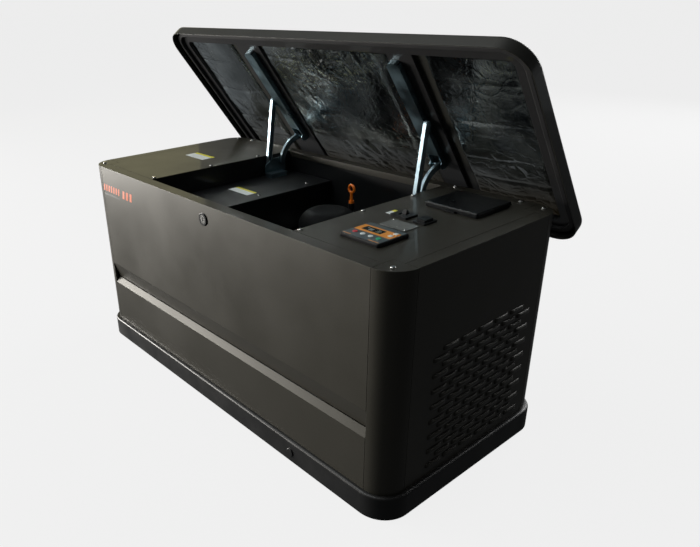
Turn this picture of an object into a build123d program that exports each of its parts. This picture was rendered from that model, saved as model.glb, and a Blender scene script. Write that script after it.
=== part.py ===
from build123d import *
import math
import os

# A home standby generator with its lid open, in millimetres. +Z is up, +X is to the right
# of someone facing the front, the front faces -Y, and the origin is the centre of the
# base's underside. Names ending in _Z are heights above the ground.

# ---- cabinet ----
CAB_L = 1200.0         # length over the end panels
CAB_D = 554.0          # depth over the front and back panels
DECK_Z = 558.0         # top of the deck
SHEET = 2.0            # body sheet
GAP = 1.0              # gap between neighbouring panels
COLUMN_R = 59.0        # outside radius of a corner column
BASE_H = 56.0
BASE_PROUD = 10.0      # the base stands out this far all round
BASE_FLOOR = 8.0
BASE_LEDGE = 27.0      # width of the ledge inside the panels' outer faces
ANCHOR_X = 1060.0      # spacing of the anchor holes
ANCHOR_Y = 420.0
ANCHOR_R = 6.5
FLANGE = 31.0          # the panels' top flanges
GROOVE_TOP_Z = 252.0   # V groove between the two front panels
GROOVE_Z = 204.0
GROOVE_END_Z = 187.0
GROOVE_DEPTH = 12.0
PLUG_X = 315.0         # round plug in the base's front
PLUG_Z = 24.0
PLUG_R = 11.0

# ---- deck and service well ----
WELL_X = 293.0         # half the well's width
WELL_FLOOR_Z = 330.0   # lower edge of the well's walls
SHELF_Z = 497.0        # sunken shelf on the left
SHELF_X = -105.0       # its right edge
SHELF_DEEP = 110.0     # depth of its right-hand wall
BACK_LIP = 17.0        # depth of the back flange's lip
SCREW_R = 2.6
SCREW_HEAD_R = 5.5
SCREW_HEAD_H = 3.4
SCREW_LEN = 14.0
SCREW_CLEAR = 0.1

# ---- louvres in the end panels ----
LOUVRE_Y0 = -157.0
LOUVRE_Y1 = 192.0
LOUVRE_Z0 = 84.0
LOUVRE_Z1 = 360.0
LOUVRE_COLUMNS = 6
LOUVRE_ROWS = 16
LOUVRE_H = 6.0
LOUVRE_BRIDGE = 12.0   # metal left between two slots of a row

# ---- lid ----
LID_OVER_X = 11.0      # the closed lid stands out this far at the ends
LID_OVER_Y = 6.0       # and at the front and back
LID_DROP = 8.0         # its rim hangs this far below the deck
LID_H = 34.0           # rim depth
LID_R = 68.0
LID_ANGLE = 53.17      # how far it stands open
RIM_FLANGE = 46.0      # inner return flange that carries the seal
SEAL_W = 14.0
SEAL_H = 9.0
SEAL_GAP = 4.0         # free height over the deck, which clears the screw heads
LINER_T = 7.0
RIB_X0 = 215.0         # the two stiffening ribs, either side of the middle
RIB_X1 = 316.0
RIB_H = 8.0
BAY_GAP = 28.0         # bare sheet between a rib and the outer mats
STRIKER_S = 491.0
STRIKER_L = 48.0
STRIKER_W = 15.0
STRIKER_WIRE = 3.0

# ---- four-bar hinge: lid pivots are measured from the lid's rear edge and rim plane ----
REAR_PIVOT_S = 178.3
REAR_PIVOT_O = 12.0
FRONT_PIVOT_S = 321.2
FRONT_PIVOT_O = 12.8
BASE_REAR_Y = 196.7
BASE_REAR_Z = 539.3
BASE_FRONT_Y = 153.8
BASE_FRONT_Z = 525.2
PIN_R = 4.0
PIN_CLEAR = 0.05
PIN_HEAD = 1.2
FRONT_LINK_X0 = 281.0
FRONT_LINK_W = 9.5
BRACKET_X = 276.5
BRACKET_T = 3.0
BRACKET_FOOT_Z = 507.0
REAR_LINK_X0 = 267.0
REAR_LINK_W = 8.0
CHANNEL_X0 = 244.0
CHANNEL_X1 = 280.0
CHANNEL_T = 2.5
CHANNEL_S1 = 498.0     # far end of the lid channel
CHANNEL_O = 10.0       # its face, above the rim plane
LINK_HALF = 8.0
NECK_BULGE = 16.0      # how far the rear link bows away from a straight line

# ---- right deck ----
CONTROLLER_X = 432.0
CONTROLLER_Y = -151.5
CONTROLLER_W = 107.0
CONTROLLER_D = 92.0
CONTROLLER_PROUD = 8.0
CONTROLLER_DEEP = 34.0
KEY_TRAVEL = 1.0
KEY_FIT = 0.35         # gap between a key and its pocket
PUSH_KEY_R = 5.4
PUSH_KEY_PITCH = 21.0
ARROW_KEY_W = 9.0
BREAKER_X = 387.0
BREAKER_Y = -8.0
BREAKER_W = 46.0
BREAKER_D = 40.0
TOGGLE_ANGLE = 44.0    # between off and on
OUTLET_X = 445.0
OUTLET_Y = -9.0
OUTLET_W = 34.0
OUTLET_D = 42.0
HATCH_X0 = 370.0
HATCH_X1 = 511.0
HATCH_Y0 = 83.0
HATCH_Y1 = 209.0
HATCH_PIN_BACK = 10.0  # the hinge pin lies this far behind the cover
HATCH_H = 11.0
HATCH_LIFT = 1.0       # gap under the hatch cover

# ---- lock ----
LOCK_Z = 521.0
LOCK_R = 16.0
LOCK_BORE_R = 11.0

# ---- power unit: the crankshaft lies along X ----
SHAFT_Z = 205.0
SHAFT_R = 17.5
SHAFT_CLEAR = 0.05
BEARING_R = 31.0
BEARING_W = 16.0
CASE_X0 = -110.0
CASE_X1 = 70.0
CASE_Y = 92.0
CASE_Z0 = 88.0
CASE_Z1 = 285.0
CASE_WALL = 10.0
CYLINDER_X = (-50.0, 4.0)
CYLINDER_TILT = 45.0
CYLINDER_R = 42.0
CYLINDER_START = 104.0   # where the barrels leave the crankcase, from the shaft
HEAD_T = 24.0
BARREL_END = 190.0     # distance of the barrel's end from the crankshaft
HEAD_END = 228.0
COVER_END = 256.0
FIN_W = 104.0
FIN_T = 3.0
FIN_PITCH = 9.0
FAN_X = -190.0
FAN_R = 112.0
FAN_W = 46.0
SHROUD_R = 120.0
SHROUD_WALL = 2.5
ALT_X0 = 82.0
ALT_X1 = 282.0
ALT_R = 112.0
ALT_WALL = 5.0
STATOR_R = 72.0
AIR_GAP = 1.0
MOUNT_X = (-85.0, 255.0)
MOUNT_Y = 130.0
MOUNT_R = 24.0
SKID_Z = 50.0
RAIL_W = 50.0
AIR_X = 85.0
AIR_Y = 55.0
AIR_R = 80.0
AIR_Z0 = 425.0
AIR_Z1 = 492.0
DIP_X = 50.0
DIP_Y = 175.0
DIP_TOP_Z = 476.0
DIP_TUBE_R = 6.0
DIP_ROD_R = 3.0
DIP_LEN = 190.0
DIP_RING_Z = 516.0
MUFFLER_X = -440.0
MUFFLER_R = 84.0
MUFFLER_Z = 235.0
MUFFLER_LEN = 372.0
MUFFLER_WALL = 3.0
PIPE_R = 17.0
TAIL_Z = 205.0
TAIL_R = 14.0
PORT_Y = (HEAD_END - HEAD_T / 2) * math.sin(math.radians(CYLINDER_TILT))
PORT_Z = SHAFT_Z + PORT_Y
GAS_Z = 110.0
GAS_THREAD_R = 13.4
GAS_PROUD = 20.0
CONDUIT_Z = 130.0
CONDUIT_R = 17.0
BATTERY_X = 460.0
BATTERY_Y = -120.0
BATTERY_L = 196.0
BATTERY_D = 130.0
BATTERY_H = 180.0

HALF_L = CAB_L / 2
HALF_D = CAB_D / 2
WELL_FRONT_Y = -(HALF_D - FLANGE)
WELL_BACK_Y = HALF_D - FLANGE
DECK_UNDER = DECK_Z - SHEET


# ---------------------------------------------------------------- helpers

def block(x0, x1, y0, y1, z0, z1):
    """A box between two corners."""
    lo = (min(x0, x1), min(y0, y1), min(z0, z1))
    hi = (max(x0, x1), max(y0, y1), max(z0, z1))
    size = [b - a for a, b in zip(lo, hi)]
    return Pos(*[(a + b) / 2 for a, b in zip(lo, hi)]) * Box(*size)


def rod(r, start, axis, length):
    """A cylinder that starts at a point and runs along +X, +Y or +Z."""
    turn = {"x": Rot(0, 90, 0), "y": Rot(-90, 0, 0), "z": Rot(0, 0, 0)}[axis]
    stick = Cylinder(r, length, align=(Align.CENTER, Align.CENTER, Align.MIN))
    return Pos(*start) * turn * stick


def tube(r_out, r_in, start, axis, length):
    """A hollow cylinder."""
    return rod(r_out, start, axis, length) - rod(r_in, start, axis, length)


def slab(width, depth, radius, z0, z1, x=0.0, y=0.0):
    """A flat plate with rounded corners."""
    outline = RectangleRounded(width, depth, radius)
    return Pos(x, y, z0) * extrude(outline, z1 - z0)


def swept(points, radius, bends):
    """A round pipe whose straight runs are joined by tangent arcs."""
    path = FilletPolyline(*points, radius=bends)
    start = Plane(origin=path @ 0, z_dir=path % 0)
    return sweep(start * Circle(radius), path=path)


def both(shape):
    """A shape and its mirror image on the other side of the middle."""
    return [shape, mirror(shape, about=Plane.YZ)]


def plate_yz(points, x0, x1):
    """A flat plate cut to a closed outline of (y, z) points, from x0 to x1."""
    face = make_face(Polyline(*[(x0, y, z) for y, z in points], close=True))
    return extrude(face, amount=x1 - x0, dir=(1, 0, 0))


def profile_x(points, x0, x1):
    """The same for a folded section that runs along X."""
    return plate_yz(points, x0, x1)


# ---------------------------------------------------------------- four-bar hinge

LID_DEPTH = CAB_D + 2 * LID_OVER_Y
LID_WIDTH = CAB_L + 2 * LID_OVER_X
LID_BACK_Y = HALF_D + LID_OVER_Y
RIM_Z = DECK_Z - LID_DROP


def closed_point(s, o):
    """A lid point in (y, z) with the lid shut: s from the rear edge, o above the rim."""
    return (LID_BACK_Y - s, RIM_Z + o)


def turned(v, degrees):
    """A (y, z) vector turned about +X."""
    a = math.radians(degrees)
    return (v[0] * math.cos(a) - v[1] * math.sin(a), v[0] * math.sin(a) + v[1] * math.cos(a))


def open_hinge():
    """Both lid pivots with the lid open, from the link lengths that fit the shut lid."""
    rear_shut = closed_point(REAR_PIVOT_S, REAR_PIVOT_O)
    front_shut = closed_point(FRONT_PIVOT_S, FRONT_PIVOT_O)
    rear_len = math.hypot(rear_shut[0] - BASE_REAR_Y, rear_shut[1] - BASE_REAR_Z)
    front_len = math.hypot(front_shut[0] - BASE_FRONT_Y, front_shut[1] - BASE_FRONT_Z)
    coupler = turned((front_shut[0] - rear_shut[0], front_shut[1] - rear_shut[1]), -LID_ANGLE)

    def pivots(angle):
        a = math.radians(angle)
        rear = (BASE_REAR_Y + rear_len * math.cos(a), BASE_REAR_Z + rear_len * math.sin(a))
        return rear, (rear[0] + coupler[0], rear[1] + coupler[1])

    def error(angle):
        front = pivots(angle)[1]
        return math.hypot(front[0] - BASE_FRONT_Y, front[1] - BASE_FRONT_Z) - front_len

    low, high = 5.0, 85.0
    for _ in range(60):
        middle = (low + high) / 2
        if error(low) * error(middle) <= 0:
            high = middle
        else:
            low = middle
    rear, front = pivots((low + high) / 2)
    return rear, front, rear_shut, front_shut


REAR_TOP, FRONT_TOP, REAR_SHUT, FRONT_SHUT = open_hinge()


def angle_of(start, end):
    return math.degrees(math.atan2(end[1] - start[1], end[0] - start[0]))


REAR_TURN = (angle_of((BASE_REAR_Y, BASE_REAR_Z), REAR_SHUT)
             - angle_of((BASE_REAR_Y, BASE_REAR_Z), REAR_TOP))
FRONT_TURN = (angle_of((BASE_FRONT_Y, BASE_FRONT_Z), FRONT_SHUT)
              - angle_of((BASE_FRONT_Y, BASE_FRONT_Z), FRONT_TOP))


def opened(shape):
    """Carry a piece of the shut lid to its place on the open lid."""
    to_pivot = Pos(0, -REAR_SHUT[0], -REAR_SHUT[1])
    return Pos(0, REAR_TOP[0], REAR_TOP[1]) * Rot(-LID_ANGLE, 0, 0) * to_pivot * shape


# ---------------------------------------------------------------- screws

INSET = 27.0           # corner screws, from the outer faces
CORNER_SCREWS = [(sx * (HALF_L - INSET - 5), sy * (HALF_D - INSET)) for sx in (-1, 1) for sy in (-1, 1)]
DECK_SCREW_X = WELL_X + 9.0
DECK_SCREWS = [(side * DECK_SCREW_X, y) for side in (-1, 1)
               for y in (WELL_FRONT_Y + 13, WELL_FRONT_Y + 200, WELL_BACK_Y - 119)]
BACK_SCREWS = [(sx * x, WELL_BACK_Y + FLANGE / 2) for sx in (-1, 1) for x in (325.0, 505.0)]
SHELF_SCREWS = [(SHELF_X - 25, y) for y in (-200.0, -7.0, 170.0)]


def deck_screw(x, y, top):
    head = rod(SCREW_HEAD_R, (x, y, top), "z", SCREW_HEAD_H)
    head = fillet(head.edges().group_by(Axis.Z)[-1], 1.6)
    return head + rod(SCREW_R, (x, y, top - SCREW_LEN), "z", SCREW_LEN)


def screw_holes(places, top):
    return [rod(SCREW_R + SCREW_CLEAR, (x, y, top - SCREW_LEN - 1), "z", SCREW_LEN + 2)
            for x, y in places]


# ---------------------------------------------------------------- cabinet

def base_tray():
    """Moulded base with a raised rim; the cabinet's panels stand on its inner ledge."""
    length, depth = CAB_L + 2 * BASE_PROUD, CAB_D + 2 * BASE_PROUD
    radius = COLUMN_R + BASE_PROUD
    body = slab(length, depth, radius, 0, BASE_H)
    body = fillet(body.edges().group_by(Axis.Z)[-1], 6.0)
    inner = slab(CAB_L - 2 * BASE_LEDGE, CAB_D - 2 * BASE_LEDGE, COLUMN_R - BASE_LEDGE,
                 BASE_FLOOR, BASE_H + 1)
    body -= inner
    for sx in (-1, 1):
        for sy in (-1, 1):
            body -= rod(ANCHOR_R, (sx * ANCHOR_X / 2, sy * ANCHOR_Y / 2, -1), "z", BASE_FLOOR + 2)
    plug_y = -HALF_D - BASE_PROUD - 1
    body -= rod(PLUG_R - 2, (PLUG_X, plug_y, PLUG_Z), "y", BASE_PROUD + BASE_LEDGE + 2)
    return body


def base_plug():
    face = -HALF_D - BASE_PROUD
    head = rod(PLUG_R, (PLUG_X, face - 3, PLUG_Z), "y", 3)
    head = fillet(head.edges().group_by(Axis.Y)[0], 1.5)
    return head + rod(PLUG_R - 2.1, (PLUG_X, face, PLUG_Z), "y", 20)


def corner_columns():
    """Quarter-round posts, each with an ear on top that takes a screw."""
    ring = rod(COLUMN_R, (0, 0, BASE_H), "z", DECK_Z - BASE_H)
    ring -= rod(COLUMN_R - SHEET, (0, 0, BASE_H - 1), "z", DECK_UNDER - BASE_H + 1)
    quarter = block(0, COLUMN_R, 0, COLUMN_R, BASE_H, DECK_Z)
    shell = ring & quarter
    shell += block(-12, 0, COLUMN_R - SHEET - 4, COLUMN_R - 4, BASE_H, DECK_Z - 12)
    shell += block(-1, 0.5, COLUMN_R - SHEET - 4, COLUMN_R - SHEET + 0.5, BASE_H, DECK_Z - 12)
    shell += block(COLUMN_R - SHEET - 4, COLUMN_R - 4, -12, 0, BASE_H, DECK_Z - 12)
    shell += block(COLUMN_R - SHEET - 4, COLUMN_R - SHEET + 0.5, -1, 0.5, BASE_H, DECK_Z - 12)
    notch = block(-13, -1, COLUMN_R - SHEET - 5, COLUMN_R, GROOVE_END_Z - 4, GROOVE_TOP_Z + 4)
    posts = []
    for sx in (1, -1):
        for sy in (1, -1):
            copy = shell - notch if sy < 0 else shell
            if sx < 0:
                copy = mirror(copy, about=Plane.YZ)
            if sy < 0:
                copy = mirror(copy, about=Plane.XZ)
            copy = Pos(sx * (HALF_L - COLUMN_R), sy * (HALF_D - COLUMN_R), 0) * copy
            hole = screw_holes([(sx * (HALF_L - INSET - 5), sy * (HALF_D - INSET))], DECK_Z)
            posts.append(copy - hole)
    return posts


PANEL_X = HALF_L - COLUMN_R - GAP     # half the front panels' length
PANEL_Y = HALF_D - COLUMN_R - GAP     # half the end panels' depth


def front_upper_panel():
    """Folded sheet: top flange, flat face and the slope into the V groove."""
    y0 = -HALF_D
    outer = [(y0 + FLANGE, DECK_Z), (y0, DECK_Z), (y0, GROOVE_TOP_Z), (y0 + GROOVE_DEPTH, GROOVE_Z + GAP)]
    inner = [(y0 + GROOVE_DEPTH + SHEET, GROOVE_Z + GAP), (y0 + SHEET, GROOVE_TOP_Z),
             (y0 + SHEET, DECK_UNDER), (y0 + FLANGE, DECK_UNDER)]
    panel = profile_x(outer + inner, -PANEL_X, PANEL_X)
    return panel - rod(LOCK_R - 3, (0, y0 - 1, LOCK_Z), "y", SHEET + 2)


def front_lower_panel():
    y0 = -HALF_D
    low = BASE_H
    outer = [(y0 + GROOVE_DEPTH, GROOVE_Z - GAP), (y0, GROOVE_END_Z), (y0, low)]
    inner = [(y0 + SHEET, low), (y0 + SHEET, GROOVE_END_Z - 1), (y0 + GROOVE_DEPTH, GROOVE_Z - GAP - 3)]
    return profile_x(outer + inner, -PANEL_X, PANEL_X)


def louvre_slots(x):
    """Rows of long slots; every second row is shifted by half a slot."""
    pitch_y = (LOUVRE_Y1 - LOUVRE_Y0) / LOUVRE_COLUMNS
    pitch_z = (LOUVRE_Z1 - LOUVRE_Z0) / (LOUVRE_ROWS - 1)
    outline = SlotOverall(pitch_y - LOUVRE_BRIDGE, LOUVRE_H, rotation=90)
    slot = Rot(0, 90, 0) * extrude(outline, 6, both=True)
    slots = []
    for row in range(LOUVRE_ROWS):
        count = LOUVRE_COLUMNS - row % 2
        first = LOUVRE_Y0 + pitch_y / 2 * (1 + row % 2)
        for column in range(count):
            slots.append(Pos(x, first + column * pitch_y, LOUVRE_Z0 + row * pitch_z) * slot)
    return slots


def end_panel(side):
    """Folded end panel with a louvred field and a top flange."""
    x = side * HALF_L
    panel = block(x, x - side * SHEET, -PANEL_Y, PANEL_Y, BASE_H, DECK_Z)
    panel += block(x, x - side * (FLANGE - GAP), -PANEL_Y, PANEL_Y, DECK_UNDER, DECK_Z)
    panel -= louvre_slots(x)
    if side < 0:
        panel -= rod(PIPE_R + 6, (x - 5, 0, TAIL_Z), "x", 10)
    return panel


def back_panel():
    """Back sheet with the top flange and lip, and holes for gas and conduit."""
    y = HALF_D
    panel = block(-PANEL_X, PANEL_X, y - SHEET, y, BASE_H, DECK_Z)
    panel += block(-PANEL_X, PANEL_X, WELL_BACK_Y, y, DECK_UNDER, DECK_Z)
    panel += block(-WELL_X + GAP, WELL_X - GAP, WELL_BACK_Y, WELL_BACK_Y + SHEET,
                   DECK_Z - BACK_LIP, DECK_Z)
    panel -= rod(GAS_THREAD_R + 3, (-500, y - 5, GAS_Z), "y", 10)
    panel -= rod(CONDUIT_R, (500, y - 5, CONDUIT_Z), "y", 10)
    return panel - screw_holes(BACK_SCREWS, DECK_Z)


def top_frame():
    """Angle rails under the deck's edges, either side of the well."""
    rails = []
    for side in (-1, 1):
        x0 = side * (WELL_X + SHEET + GAP)
        x1 = side * (WELL_X + 22)
        rail = block(x0, x1, WELL_FRONT_Y + 4, WELL_BACK_Y - 4, DECK_UNDER - 3, DECK_UNDER)
        rail += block(x1, x1 - side * 3, WELL_FRONT_Y + 4, WELL_BACK_Y - 4, DECK_UNDER - 25, DECK_UNDER)
        rails.append(rail - screw_holes(DECK_SCREWS, DECK_Z))
    return rails


def deck_plate(side):
    """Deck cover beside the well, notched round the corner ears."""
    x_out = HALF_L - FLANGE
    y_out = HALF_D - FLANGE - GAP
    ear = HALF_L - COLUMN_R - GAP
    plate = block(side * WELL_X, side * x_out, -y_out, y_out, DECK_UNDER, DECK_Z)
    plate -= [block(side * ear, side * HALF_L, sy * (HALF_D - COLUMN_R - GAP), sy * HALF_D,
                    DECK_UNDER - 1, DECK_Z + 1) for sy in (-1, 1)]
    plate -= screw_holes(DECK_SCREWS, DECK_Z)
    return plate


def deck_left():
    return deck_plate(-1)


def deck_right():
    """The right cover also carries the controls, so it has their cut-outs."""
    plate = deck_plate(1)
    z0, z1 = DECK_UNDER - 1, DECK_Z + 1
    cut_w, cut_d = CONTROLLER_W - 12, CONTROLLER_D - 12
    plate -= slab(cut_w, cut_d, 4, z0, z1, CONTROLLER_X, CONTROLLER_Y)
    plate -= slab(BREAKER_W - 8, BREAKER_D - 8, 2, z0, z1, BREAKER_X, BREAKER_Y)
    plate -= slab(OUTLET_W - 8, OUTLET_D - 8, 2, z0, z1, OUTLET_X, OUTLET_Y)
    edge = 14.0
    plate -= block(HATCH_X0 + edge, HATCH_X1 - edge, HATCH_Y0 + edge, HATCH_Y1 - edge, z0, z1)
    return plate


def well_walls():
    """Folded liner round the service well, open at the front and below."""
    left = block(-WELL_X, -WELL_X - SHEET, WELL_FRONT_Y, WELL_BACK_Y, WELL_FLOOR_Z, DECK_UNDER)
    right = block(WELL_X, WELL_X + SHEET, WELL_FRONT_Y, WELL_BACK_Y, WELL_FLOOR_Z, DECK_UNDER)
    back = block(-WELL_X - SHEET, WELL_X + SHEET, WELL_BACK_Y + SHEET + GAP, WELL_BACK_Y + 2 * SHEET + GAP,
                 WELL_FLOOR_Z, DECK_UNDER)
    ends = [block(s * WELL_X, s * (WELL_X + SHEET), WELL_BACK_Y, WELL_BACK_Y + SHEET + GAP,
                  WELL_FLOOR_Z, DECK_UNDER) for s in (-1, 1)]
    ledge = block(BRACKET_X - 30, WELL_X, BASE_FRONT_Y - 30, WELL_BACK_Y, SHELF_Z - SHEET, SHELF_Z)
    walls = left + right + back + ends + ledge
    return walls - [rod(PIPE_R, (-WELL_X - 5, side * PORT_Y, PORT_Z), "x", 10) for side in (-1, 1)]


def shelf_box():
    """Sunken cover on the left of the well with a deep right-hand wall."""
    x0 = -WELL_X
    y0, y1 = WELL_FRONT_Y + GAP, WELL_BACK_Y - GAP
    cover = block(x0, SHELF_X, y0, y1, SHELF_Z - SHEET, SHELF_Z)
    cover += block(SHELF_X - SHEET, SHELF_X, y0, y1, SHELF_Z - SHELF_DEEP, SHELF_Z)
    cover = fillet(cover.edges().filter_by(Axis.Y).group_by(Axis.X)[-1].group_by(Axis.Z)[-1], 1.5)
    return cover - screw_holes(SHELF_SCREWS, SHELF_Z)


def deck_screws():
    screws = [deck_screw(x, y, DECK_Z) for x, y in CORNER_SCREWS + DECK_SCREWS + BACK_SCREWS]
    return screws + [deck_screw(x, y, SHELF_Z) for x, y in SHELF_SCREWS]


# ---------------------------------------------------------------- skid and power unit

def skid_frame():
    """Two channel rails and three cross members, standing on the base's floor."""
    frame = None
    for side in (-1, 1):
        y = side * MOUNT_Y
        rail = block(-520, 520, y - RAIL_W / 2, y + RAIL_W / 2, BASE_FLOOR, SKID_Z)
        rail -= block(-521, 521, y - RAIL_W / 2 + 4, y + RAIL_W / 2 + 1, BASE_FLOOR + 4, SKID_Z - 4)
        frame = rail if frame is None else frame + rail
    for x in (-420.0, 0.0, 420.0):
        frame += block(x - 20, x + 20, -MOUNT_Y - RAIL_W / 2 + 2, MOUNT_Y + RAIL_W / 2 - 4,
                       BASE_FLOOR, BASE_FLOOR + 4)
    for x in MOUNT_X:
        for side in (-1, 1):
            frame -= rod(5.1, (x, side * MOUNT_Y, SKID_Z - 5), "z", 6)
    return frame


def vibration_mounts():
    """Rubber cones with a stud below and a threaded socket above."""
    mounts = []
    for x in MOUNT_X:
        for side in (-1, 1):
            y = side * MOUNT_Y
            cone = Pos(x, y, SKID_Z) * Cone(MOUNT_R, MOUNT_R - 6, 26, align=(Align.CENTER, Align.CENTER,
                                                                          Align.MIN))
            mounts.append(cone + rod(5.0, (x, y, SKID_Z - 4), "z", 4))
    return mounts


BED_Z = SKID_Z + 26.0


def crankcase():
    """Cast crankcase with feet, a hollow inside and bearing seats in both end walls."""
    body = block(CASE_X0, CASE_X1, -CASE_Y, CASE_Y, CASE_Z0, CASE_Z1)
    body = chamfer(body.edges().filter_by(Axis.X), 26)
    body -= block(CASE_X0 + CASE_WALL, CASE_X1 - CASE_WALL, -CASE_Y + CASE_WALL + 16, CASE_Y - CASE_WALL - 16,
                  CASE_Z0 + CASE_WALL + 16, CASE_Z1 - CASE_WALL - 16)
    body -= rod(BEARING_R, (CASE_X0 - 1, 0, SHAFT_Z), "x", CASE_X1 - CASE_X0 + 2)
    bed = block(CASE_X0 + 2, ALT_X1 - 4, -MOUNT_Y - 22, MOUNT_Y + 22, BED_Z, CASE_Z0)
    bed -= [rod(5.0, (x, side * MOUNT_Y, BED_Z - 1), "z", 14) for x in MOUNT_X for side in (-1, 1)]
    body += bed
    for x, side in zip(CYLINDER_X, (1, -1)):
        seat = Pos(x, 0, SHAFT_Z) * Rot(-side * CYLINDER_TILT, 0, 0)
        body += seat * Pos(0, 0, CYLINDER_START - 30) * Cylinder(CYLINDER_R + 6, 30,
                                                       align=(Align.CENTER, Align.CENTER, Align.MIN))
        body -= seat * Pos(0, 0, 40) * Cylinder(CYLINDER_R - 6, 80,
                                                align=(Align.CENTER, Align.CENTER, Align.MIN))
    body -= rod(DIP_TUBE_R, (DIP_X, CASE_Y - 14, 150), "y", 20)
    return body


def bearings():
    """Two in the crankcase and one in the alternator's end wall."""
    starts = (CASE_X0, CASE_X1 - BEARING_W, ALT_X1 - BEARING_W)
    return [tube(BEARING_R, SHAFT_R + SHAFT_CLEAR, (x, 0, SHAFT_Z), "x", BEARING_W) for x in starts]


def cylinder_unit(x, side):
    """Finned barrel and head on one bank."""
    align = (Align.CENTER, Align.CENTER, Align.MIN)
    unit = Pos(0, 0, CYLINDER_START) * Cylinder(CYLINDER_R, HEAD_END - CYLINDER_START, align=align)
    level = CYLINDER_START + 6
    while level < HEAD_END - HEAD_T - FIN_T:
        unit += Pos(0, 0, level) * Box(FIN_W - 18, FIN_W, FIN_T, align=align)
        level += FIN_PITCH
    unit += Pos(0, 0, HEAD_END - HEAD_T) * Box(FIN_W - 18, FIN_W, HEAD_T, align=align)
    unit -= Pos(0, 0, CYLINDER_START - 1) * Cylinder(CYLINDER_R - 8, BARREL_END - CYLINDER_START, align=align)
    return Pos(x, 0, SHAFT_Z) * Rot(-side * CYLINDER_TILT, 0, 0) * unit


def cylinders():
    return [cylinder_unit(x, side) for x, side in zip(CYLINDER_X, (1, -1))]


def rocker_covers():
    covers = []
    for x, side in zip(CYLINDER_X, (1, -1)):
        cover = Pos(0, 0, HEAD_END) * Box(FIN_W - 26, FIN_W - 14, COVER_END - HEAD_END,
                                          align=(Align.CENTER, Align.CENTER, Align.MIN))
        cover = fillet(cover.edges().filter_by(Axis.Z), 12)
        cover = fillet(cover.edges().group_by(Axis.Z)[-1], 6)
        covers.append(Pos(x, 0, SHAFT_Z) * Rot(-side * CYLINDER_TILT, 0, 0) * cover)
    return covers


def blower_housing():
    """Fan shroud bolted to the crankcase's end, open in the middle of its face."""
    x0 = FAN_X - FAN_W / 2 - 12
    shell = rod(SHROUD_R, (x0, 0, SHAFT_Z), "x", CASE_X0 - x0)
    shell -= rod(SHROUD_R - SHROUD_WALL, (x0 + SHROUD_WALL, 0, SHAFT_Z), "x", CASE_X0 - x0)
    shell -= rod(70, (x0 - 1, 0, SHAFT_Z), "x", 10)
    spokes = [Pos(x0, 0, SHAFT_Z) * Rot(a, 0, 0) * block(0, SHROUD_WALL, -72, 72, -2.5, 2.5)
              for a in (0, 45, 90, 135)]
    hub = rod(16, (x0, 0, SHAFT_Z), "x", SHROUD_WALL)
    bosses = [rod(9, (CASE_X0 - 24, y, z), "x", 24)
              for y in (-60, 60) for z in (SHAFT_Z - 55, SHAFT_Z + 50)]
    plate = tube(SHROUD_R - 1, 40, (CASE_X0 - 24, 0, SHAFT_Z), "x", SHROUD_WALL)
    return shell + spokes + hub + bosses + plate


def flywheel_fan():
    """Flywheel keyed to the crankshaft, with straight fan blades."""
    x0 = FAN_X - FAN_W / 2
    wheel = rod(FAN_R - 14, (x0 + 18, 0, SHAFT_Z), "x", FAN_W - 22)
    wheel += rod(30, (x0 + 6, 0, SHAFT_Z), "x", FAN_W - 10)
    blade = block(x0, x0 + 18.5, -1.5, 1.5, 46, FAN_R - 16)
    wheel += [Pos(0, 0, SHAFT_Z) * Rot(a, 0, 0) * blade for a in range(0, 360, 24)]
    return wheel - rod(SHAFT_R, (x0 - 1, 0, SHAFT_Z), "x", FAN_W + 2)


ROTOR_X0 = ALT_X0 + 40.0
ROTOR_X1 = ALT_X1 - 46.0


def crankshaft():
    """One shaft line from the fan to the alternator's end bearing, with two throws."""
    shaft = rod(SHAFT_R, (FAN_X - FAN_W / 2 + 2, 0, SHAFT_Z), "x", ALT_X1 - 6 - FAN_X + FAN_W / 2 - 2)
    for x in (CASE_X0 + CASE_WALL + 22, CASE_X1 - CASE_WALL - 34):
        web = rod(46, (x, 0, SHAFT_Z), "x", 12) & block(x, x + 12, -46, 46, SHAFT_Z - 46, SHAFT_Z + 18)
        shaft += web
    return shaft


def alternator_housing():
    """Ribbed shell bolted to the crankcase, closed by an end wall with a bearing seat."""
    shell = tube(ALT_R, ALT_R - ALT_WALL, (CASE_X1, 0, SHAFT_Z), "x", ALT_X1 - CASE_X1)
    shell += tube(ALT_R - 1, BEARING_R, (ALT_X1 - BEARING_W, 0, SHAFT_Z), "x", BEARING_W)
    shell += tube(ALT_R - 1, 52, (CASE_X1, 0, SHAFT_Z), "x", 10)
    slots = [Pos(ALT_X1 - 6, 0, SHAFT_Z) * Rot(a, 0, 0) * Pos(0, 0, 72) * Box(20, 16, 40)
             for a in range(0, 360, 45)]
    slots += [Pos(CASE_X1 + 26, 0, SHAFT_Z) * Rot(a + 22.5, 0, 0) * Pos(0, 0, ALT_R) * Box(24, 26, 24)
              for a in (0, 45, 90, 270, 315)]
    shell -= slots
    foot = block(ALT_X0 + 30, ALT_X1 - 20, -64, 64, CASE_Z0, SHAFT_Z - 70)
    return shell + (foot - rod(ALT_R - 1, (CASE_X1 - 1, 0, SHAFT_Z), "x", ALT_X1 - CASE_X1 + 2))


def stator():
    """Laminated ring with a winding at each end."""
    core = tube(ALT_R - ALT_WALL, STATOR_R, (ROTOR_X0, 0, SHAFT_Z), "x", ROTOR_X1 - ROTOR_X0)
    for x in (ROTOR_X0 - 16, ROTOR_X1):
        core += tube(ALT_R - ALT_WALL - 8, STATOR_R + 4, (x, 0, SHAFT_Z), "x", 16)
    return core


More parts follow.
